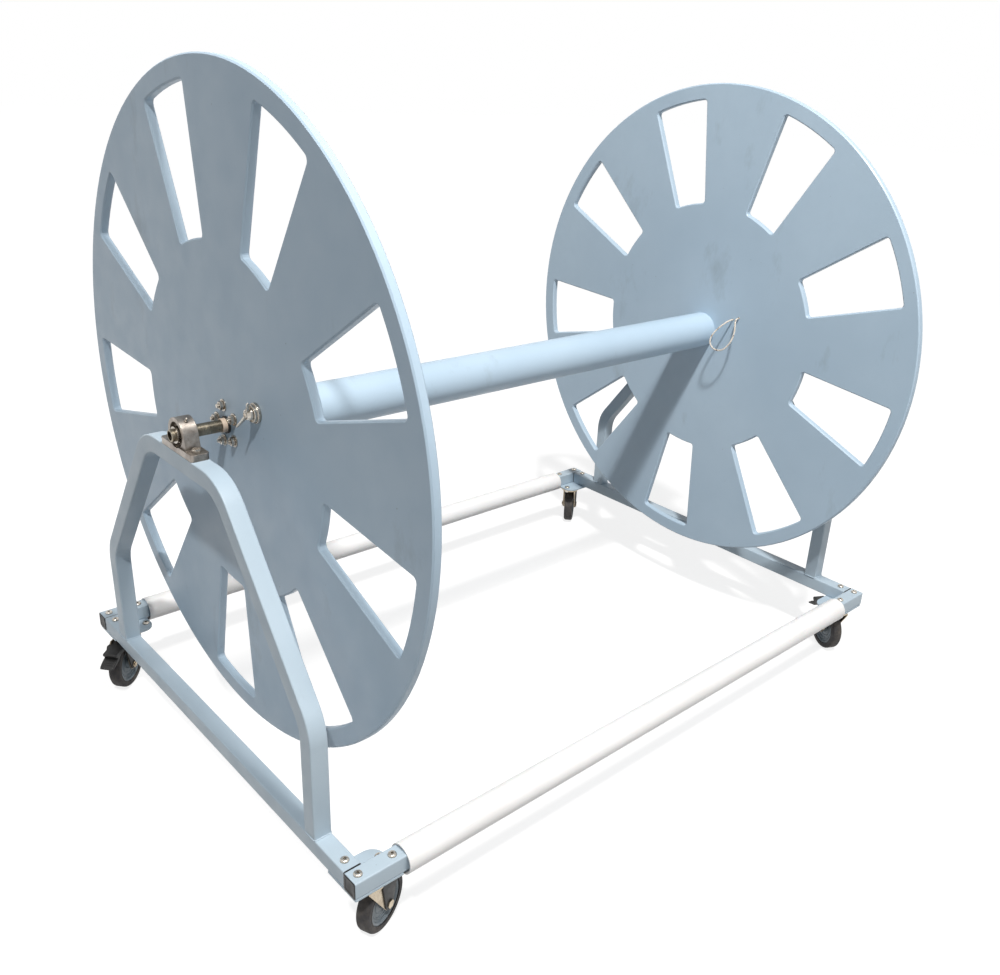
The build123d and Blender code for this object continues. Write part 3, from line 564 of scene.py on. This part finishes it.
def add_rope(bm, line, closed=False):
    """A three-strand rope along a line: a lobed section that turns with the lay."""
    uv = bm.loops.layers.uv.get("lay") or bm.loops.layers.uv.new("lay")
    stations = resampled(line, ROPE_STEP)
    if closed:
        stations = stations[:-1]
    side = None
    rows = []
    for k, (centre, run) in enumerate(stations):
        before = stations[k - 1][0] if k or closed else centre
        after = stations[(k + 1) % len(stations)][0] if k + 1 < len(stations) or closed else centre
        ahead = (after - before).normalized()
        side = side or ahead.orthogonal().normalized()
        side = (side - ahead * side.dot(ahead)).normalized()
        over = ahead.cross(side)
        row = []
        for j in range(ROPE_ROUND):
            around = j / ROPE_ROUND
            strand = ROPE_STRANDS * (around - run / ROPE_LAY)
            lobe = abs(sin(pi * strand)) ** 0.55
            radius = ROPE_DIAMETER / 2 * (0.76 + 0.25 * lobe)
            angle = 2 * pi * around
            spot = centre + radius * (cos(angle) * side + sin(angle) * over)
            row.append((bm.verts.new(spot), strand, run / ROPE_DIAMETER))
        rows.append(row)
    pairs = list(zip(rows, rows[1:]))
    if closed:
        pairs.append((rows[-1], rows[0]))
    for row, following in pairs:
        for j in range(ROPE_ROUND):
            nxt = (j + 1) % ROPE_ROUND
            wrap = ROPE_STRANDS if nxt == 0 else 0
            corners = [(row[j], 0), (row[nxt], wrap), (following[nxt], wrap), (following[j], 0)]
            face = bm.faces.new([c[0][0] for c in corners])
            for loop, (corner, extra) in zip(face.loops, corners):
                loop[uv].uv = (corner[1] + extra, corner[2])
    if not closed:
        bm.faces.new([v[0] for v in rows[0]][::-1])
        bm.faces.new([v[0] for v in rows[-1]])


def rope_knot(y, z):
    """An overhand knot against the disc's outer face."""
    centre = Vector((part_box("right_disc")[1].x + KNOT_OFF, y, z))
    line = []
    for k in range(KNOT_STEPS + 1):
        t = 2 * pi * k / KNOT_STEPS
        wide = Vector((0, sin(t) + 2 * sin(2 * t), cos(t) - 2 * cos(2 * t)))
        line.append(centre + KNOT_SIZE * wide + Vector((-0.0018 * sin(3 * t), 0, 0)))
    return line


def rope_pieces():
    route = [(RIGHT_FACE - x, y, AXLE_Z + z) for x, y, z in ROPE_ROUTE]
    line = nurbs_points(route)
    bm = bmesh.new()
    add_rope(bm, line)
    loop = finished("rope_loop_laid", bm, MATERIALS["rope"], "reel", ["rope_loop"], 80)
    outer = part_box("right_disc")[1].x
    bm = bmesh.new()
    for x, y, z in (route[0], route[-1]):
        through = [Vector((x + (outer + 0.003 - x) * k / 4, y, z)) for k in range(5)]
        add_rope(bm, through)
        add_rope(bm, rope_knot(y, z), closed=True)
        add_rope(bm, nurbs_points([(outer + out, y + along, z + up) for out, along, up in ROPE_TAIL]))
    knots = finished("rope_knots_tied", bm, MATERIALS["rope"], "reel", ["rope_knots"], 80)
    path = [tuple(p) for p, _ in resampled(line, 0.002)]


# Fasteners


def add_nut(bm, across, height, bore, place):
    """A chamfered hex nut on local z = 0, up."""
    count = 72
    flat = across / 2 * 0.96
    ease = 0.0005
    angles = [2 * pi * k / count for k in range(count)]
    reach = [across / 2 / cos((a + pi / 6) % (pi / 3) - pi / 6) for a in angles]
    drop = [max(r - flat, 0) * tan(radians(30)) for r in reach]

    def ring(radius, z):
        return [(radius * cos(a), radius * sin(a), z) for a in angles]

    upper = [(r * cos(a), r * sin(a), height - d) for a, r, d in zip(angles, reach, drop)]
    lower = [(r * cos(a), r * sin(a), d) for a, r, d in zip(angles, reach, drop)]
    rings = [ring(bore, ease), ring(bore, height - ease), ring(bore + ease, height), ring(flat, height),
             upper, lower, ring(flat, 0), ring(bore + ease, 0)]
    add_loft(bm, rings, place, closed=True)


def add_thread(bm, radius, pitch, z0, z1, place, count=24):
    """A threaded rod along local Z, its ends chamfered."""
    depth = 0.6 * pitch
    steps = max(int((z1 - z0) / pitch * 6), 4)
    rings = [circle(radius - depth, z0, count)]
    for k in range(steps + 1):
        z = z0 + (z1 - z0) * k / steps
        ring = []
        for j in range(count):
            phase = (z / pitch - j / count) % 1.0
            r = radius - depth * abs(2 * phase - 1)
            r = min(r, radius - depth + (z1 - z) + 0.0002)
            ring.append((r * cos(2 * pi * j / count), r * sin(2 * pi * j / count), z))
        rings.append(ring)
    rings.append(circle(radius - depth - 0.0006, z1 + 0.0001, count))
    add_loft(bm, rings, place)


def outward(box):
    """The way out of the reel along X from a solid's box."""
    return 1 if box[0].x + box[1].x > 0 else -1


def hub_fasteners():
    studs, nuts = bmesh.new(), bmesh.new()
    for lo, hi in solids_of("hub_studs"):
        way = outward((lo, hi))
        start = lo if way > 0 else hi
        place = facing((start.x, (lo.y + hi.y) / 2, (lo.z + hi.z) / 2), (way, 0, 0))
        add_thread(studs, (hi.y - lo.y) / 2, STUD_PITCH * MM, 0, hi.x - lo.x, place)
    for lo, hi in solids_of("hub_nuts"):
        way = outward((lo, hi))
        start = lo if way > 0 else hi
        across = min(hi.y - lo.y, hi.z - lo.z)
        place = facing((start.x, (lo.y + hi.y) / 2, (lo.z + hi.z) / 2), (way, 0, 0), pi / 6)
        add_nut(nuts, across, hi.x - lo.x, NUT_BORE * MM, place)
    finished("hub_studs_threaded", studs, MATERIALS["stainless"], "reel", ["hub_studs"])
    finished("hub_nuts_chamfered", nuts, MATERIALS["stainless"], "reel", ["hub_nuts"])


def frame_nuts():
    for node in ("corner_nuts", "bearing_nuts"):
        bm = bmesh.new()
        for lo, hi in solids_of(node):
            across = min(hi.x - lo.x, hi.y - lo.y)
            place = Matrix.Translation(((lo.x + hi.x) / 2, (lo.y + hi.y) / 2, lo.z))
            add_nut(bm, across, hi.z - lo.z, NUT_BORE * MM, place)
        finished(node + "_chamfered", bm, MATERIALS["stainless"], "frame", [node])


def wing_parts():
    """Wing nut on its stepped washer, and the bolt that it turns on."""
    bolt = middle("wing_bolt")
    a = radians(WING_ANGLE)
    axes = Matrix(((0, -sin(a), cos(a)), (0, cos(a), sin(a)), (-1, 0, 0))).transposed().to_4x4()
    place = Matrix.Translation((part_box("left_disc")[0].x, bolt.y, bolt.z)) @ axes
    bm = bmesh.new()
    add_lathe(bm, metres(WASHER), place, closed=True)
    finished("wing_washer_stepped", bm, MATERIALS["stainless"], "reel", ["wing_washer"], 30)
    bm = bmesh.new()
    add_lathe(bm, metres(WING_HUB), place, 48, closed=True)
    for turn in (0, pi):
        add_fin(bm, WING, place @ Matrix.Rotation(turn, 4, "Z"))
    finished("wing_nut_forged", bm, MATERIALS["stainless"], "reel", ["wing_nut"], 40)
    bm = bmesh.new()
    add_lathe(bm, metres(WING_BOLT), place, 48)
    add_thread(bm, *(v * MM for v in WING_THREAD), place, 32)
    finished("wing_bolt_threaded", bm, MATERIALS["stainless"], "reel", ["wing_bolt"], 40)


def bar_caps():
    """Black caps in the ends of the crossbars, their rims over the tube's edge."""
    bm = bmesh.new()
    for lo, hi in solids_of("crossbar_end_plugs"):
        way = outward((lo, hi))
        place = Matrix.Translation((0, (lo.y + hi.y) / 2, (lo.z + hi.z) / 2))
        end = max(abs(lo.x), abs(hi.x)) / MM + PLUG_INSET
        rings = [slab_ring(way * (end + x) * MM, -h * MM, h * MM, h * MM, CAP_EASE * MM) for x, h in CAP]
        add_loft(bm, rings, place)
    finished("crossbar_caps", bm, MATERIALS["black_plastic"], "frame",
             ["crossbar_end_plugs"], 30)


# Casters


def caster_place(corner):
    """A caster's own axes: on the floor under its pivot, X towards the wheel, Z up."""
    pivot, wheel = (Vector(joint_of(corner + name)["pos_m"]) for name in ("_swivel", "_wheel_spin"))
    ahead = Vector((wheel.x - pivot.x, wheel.y - pivot.y, 0)).normalized()
    up = Vector((0, 0, 1))
    turn = Matrix((ahead, up.cross(ahead), up)).transposed().to_4x4()
    return Matrix.Translation((pivot.x, pivot.y, 0)) @ turn


def cheek_outline():
    """Side view of the plate that reaches from the pedal down to the wheel's axle."""
    points = []
    for x, z, r in CHEEK_ROUNDS:
        points += [(x + r * cos(k * pi / 12), z + r * sin(k * pi / 12)) for k in range(24)]
    return [Vector(points[k]) for k in geometry.convex_hull_2d(points)]


def pedals():
    outline = cheek_outline()
    centre = sum(outline, Vector((0, 0))) / len(outline)
    for corner in CORNERS:
        place = caster_place(corner)
        bm = bmesh.new()
        for block in (PEDAL_ARM, PEDAL_UPPER, PEDAL_LOWER):
            add_slab(bm, block, place)
        for x, top in PEDAL_RIBS:
            rib = [(x + along, top + low, top + high, half) for along, low, high, half in RIB]
            add_slab(bm, rib, place, 0.0005)
        x, z = PEDAL_PIN
        pin = [(r, -h) for r, h in PIN_HALF] + PIN_HALF[::-1]
        across = place @ Matrix.Translation((x * MM, 0, z * MM)) @ Matrix.Rotation(-pi / 2, 4, "X")
        add_lathe(bm, metres(pin), across, 32)
        finished(corner + "_pedal_lobed", bm, MATERIALS["black_plastic"], corner + "_brake",
                 [corner + "_brake_pedal"], 40)
        bm = bmesh.new()
        for side in (-1, 1):
            rings = []
            for y, share in CHEEK_SECTION:
                flat = [centre + (p - centre) * share for p in outline]
                rings.append([(p.x * MM, side * y * MM, p.y * MM) for p in flat])
            add_loft(bm, rings, place)
        finished(corner + "_pedal_cheeks", bm, MATERIALS["black_plastic"], corner + "_caster",
                 sharp=40)


def wheel_place(corner):
    """Middle of a wheel, its local Z along the axle."""
    lo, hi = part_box(corner + "_caster_tyre")
    return facing((lo + hi) / 2, joint_of(corner + "_wheel_spin")["axis"]), (hi.z - lo.z) / 2


def caster_wheels():
    for corner in CORNERS:
        place, radius = wheel_place(corner)
        crown = [(radius - depth * MM, half * MM) for depth, half in TYRE_CROWN]
        tyre = [(r, -h) for r, h in crown] + [(r, h) for r, h in reversed(crown[:-1])]
        bm = bmesh.new()
        add_lathe(bm, tyre, place, 96, closed=True)
        finished(corner + "_tyre_moulded", bm, MATERIALS["wheel_tyre"], corner + "_wheel",
                 [corner + "_caster_tyre"], 50)
        face = metres(WHEEL_FACE) + [(radius - WHEEL_EDGE[0] * MM, WHEEL_EDGE[1] * MM)]
        ring = face + [(r, -h) for r, h in reversed(face)]
        bm = bmesh.new()
        add_lathe(bm, ring, place, 96, closed=True)
        finished(corner + "_wheel_centre", bm, MATERIALS["wheel_hub"], corner + "_wheel",
                 [corner + "_caster_hub"], 40)


# Welds where the hoops stand on the base beams


def weld_line(half, seed):
    """Points round a square leg from its middle, each with the bead's size there."""
    line = []
    for k in range(WELD_STEPS):
        a = 2 * pi * k / WELD_STEPS
        c, s = cos(a), sin(a)
        reach = half / (abs(c) ** 9 + abs(s) ** 9) ** (1 / 9)
        size = WELD_SIZE + WELD_RIPPLE * sin(k * 2 * pi / 6)
        size += WELD_WANDER * noise.noise(Vector((k * 0.35, *seed)))
        line.append((reach * c, reach * s, size * MM))
    return line


def weld_beads():
    bm = bmesh.new()
    for side in ("left", "right"):
        lo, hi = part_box(side + "_hoop")
        x = (lo.x + hi.x) / 2
        half = (hi.x - lo.x) / 2
        for y in (lo.y + half, hi.y - half):
            line = weld_line(half, (y * 9, x * 9))
            rings = []
            for j in range(8):
                b = 2 * pi * j / 8
                ring = []
                for px, py, size in line:
                    out = 1 + size * cos(b) / hypot(px, py)
                    ring.append((x + px * out, y + py * out, lo.z + 0.0003 + size * max(sin(b), -0.1)))
                rings.append(ring)
            add_loft(bm, rings, closed=True)
    finished("hoop_weld_beads", bm, MATERIALS["painted_tube"], "frame", sharp=60)


# Floor, light and camera


def floor_material():
    """Pale floor: white to the camera and to metal, keeping the object's shadow."""
    material = bpy.data.materials.new("floor")
    material.use_nodes = True
    t = Tree(material.node_tree)
    out = t.node("ShaderNodeOutputMaterial")
    path = t.node("ShaderNodeLightPath").outputs
    seen = t.math("MAXIMUM", path["Is Camera Ray"], path["Is Glossy Ray"])
    plain = t.feed(t.node("ShaderNodeBsdfDiffuse"), Color=(FLOOR_COLOUR, FLOOR_COLOUR, FLOOR_COLOUR, 1))
    glow = t.feed(t.node("ShaderNodeEmission"), Strength=t.math("MULTIPLY", seen, FLOOR_LIFT))
    both = t.node("ShaderNodeAddShader")
    t.link(plain.outputs[0], both.inputs[0])
    t.link(glow.outputs[0], both.inputs[1])
    t.link(both.outputs[0], out.inputs["Surface"])
    return material


def make_floor():
    bm = bmesh.new()
    bmesh.ops.create_grid(bm, x_segments=1, y_segments=1, size=FLOOR_HALF)
    mesh = bpy.data.meshes.new("floor")
    bm.to_mesh(mesh)
    bm.free()
    mesh.materials.append(floor_material())
    floor = bpy.data.objects.new("floor", mesh)
    bpy.context.scene.collection.objects.link(floor)


def make_world():
    """White to the camera and to metal, and a dim sky to everything else."""
    world = bpy.data.worlds.new("studio")
    bpy.context.scene.world = world
    world.use_nodes = True
    t = Tree(world.node_tree)
    out = t.node("ShaderNodeOutputWorld")
    path = t.node("ShaderNodeLightPath").outputs
    clear = t.math("MAXIMUM", path["Is Camera Ray"], path["Is Transmission Ray"])
    seen = t.math("MAXIMUM", clear, path["Is Glossy Ray"])
    sky = t.feed(t.node("ShaderNodeBackground"), Color=SKY_TINT, Strength=SKY_STRENGTH)
    white = t.feed(t.node("ShaderNodeBackground"), Color=(1, 1, 1, 1))
    mix = t.node("ShaderNodeMixShader")
    for value, socket in zip((seen, sky.outputs[0], white.outputs[0]), mix.inputs):
        t.link(value, socket)
    t.link(mix.outputs[0], out.inputs["Surface"])


def make_lights():
    sun = bpy.data.lights.new("sun", "SUN")
    sun.energy = SUN_STRENGTH
    sun.angle = radians(SUN_ANGLE)
    sun.color = SUN_TINT
    lamp = bpy.data.objects.new("sun", sun)
    lamp.rotation_euler = Vector(SUN_WAY).to_track_quat("-Z", "Y").to_euler()
    bpy.context.scene.collection.objects.link(lamp)
    for name, (place, size, power) in PANELS.items():
        panel = bpy.data.lights.new(name, "AREA")
        panel.energy = power
        panel.size = size
        panel.color = PANEL_TINT
        soft = bpy.data.objects.new(name, panel)
        soft.location = place
        aim = Vector(PANEL_AIM) - Vector(place)
        soft.rotation_euler = aim.to_track_quat("-Z", "Y").to_euler()
        bpy.context.scene.collection.objects.link(soft)


def make_camera():
    data = bpy.data.cameras.new("camera")
    camera = bpy.data.objects.new("camera", data)
    bpy.context.scene.collection.objects.link(camera)
    data.sensor_width = 36
    data.sensor_fit = "HORIZONTAL"
    data.lens = FOCAL / IMAGE_WIDTH * data.sensor_width
    data.shift_x = -CENTRE_RIGHT / IMAGE_WIDTH
    data.shift_y = CENTRE_DOWN / IMAGE_WIDTH
    data.clip_end = 100
    yaw, pitch, roll = radians(CAMERA_YAW), radians(CAMERA_PITCH), radians(CAMERA_ROLL)
    ahead = Vector((sin(yaw) * cos(pitch), cos(yaw) * cos(pitch), sin(pitch)))
    level = Vector((cos(yaw), -sin(yaw), 0))
    over = level.cross(ahead)
    right = cos(roll) * level + sin(roll) * over
    up = cos(roll) * over - sin(roll) * level
    turn = Matrix((right, up, -ahead)).transposed().to_4x4()
    camera.matrix_world = Matrix.Translation(CAMERA_AT) @ turn
    bpy.context.scene.camera = camera


dress_nodes()
rope_pieces()
hub_fasteners()
frame_nuts()
wing_parts()
bar_caps()
caster_wheels()
pedals()
weld_beads()
make_floor()
make_world()
make_lights()
make_camera()
bpy.context.scene.view_settings.view_transform = "Standard"
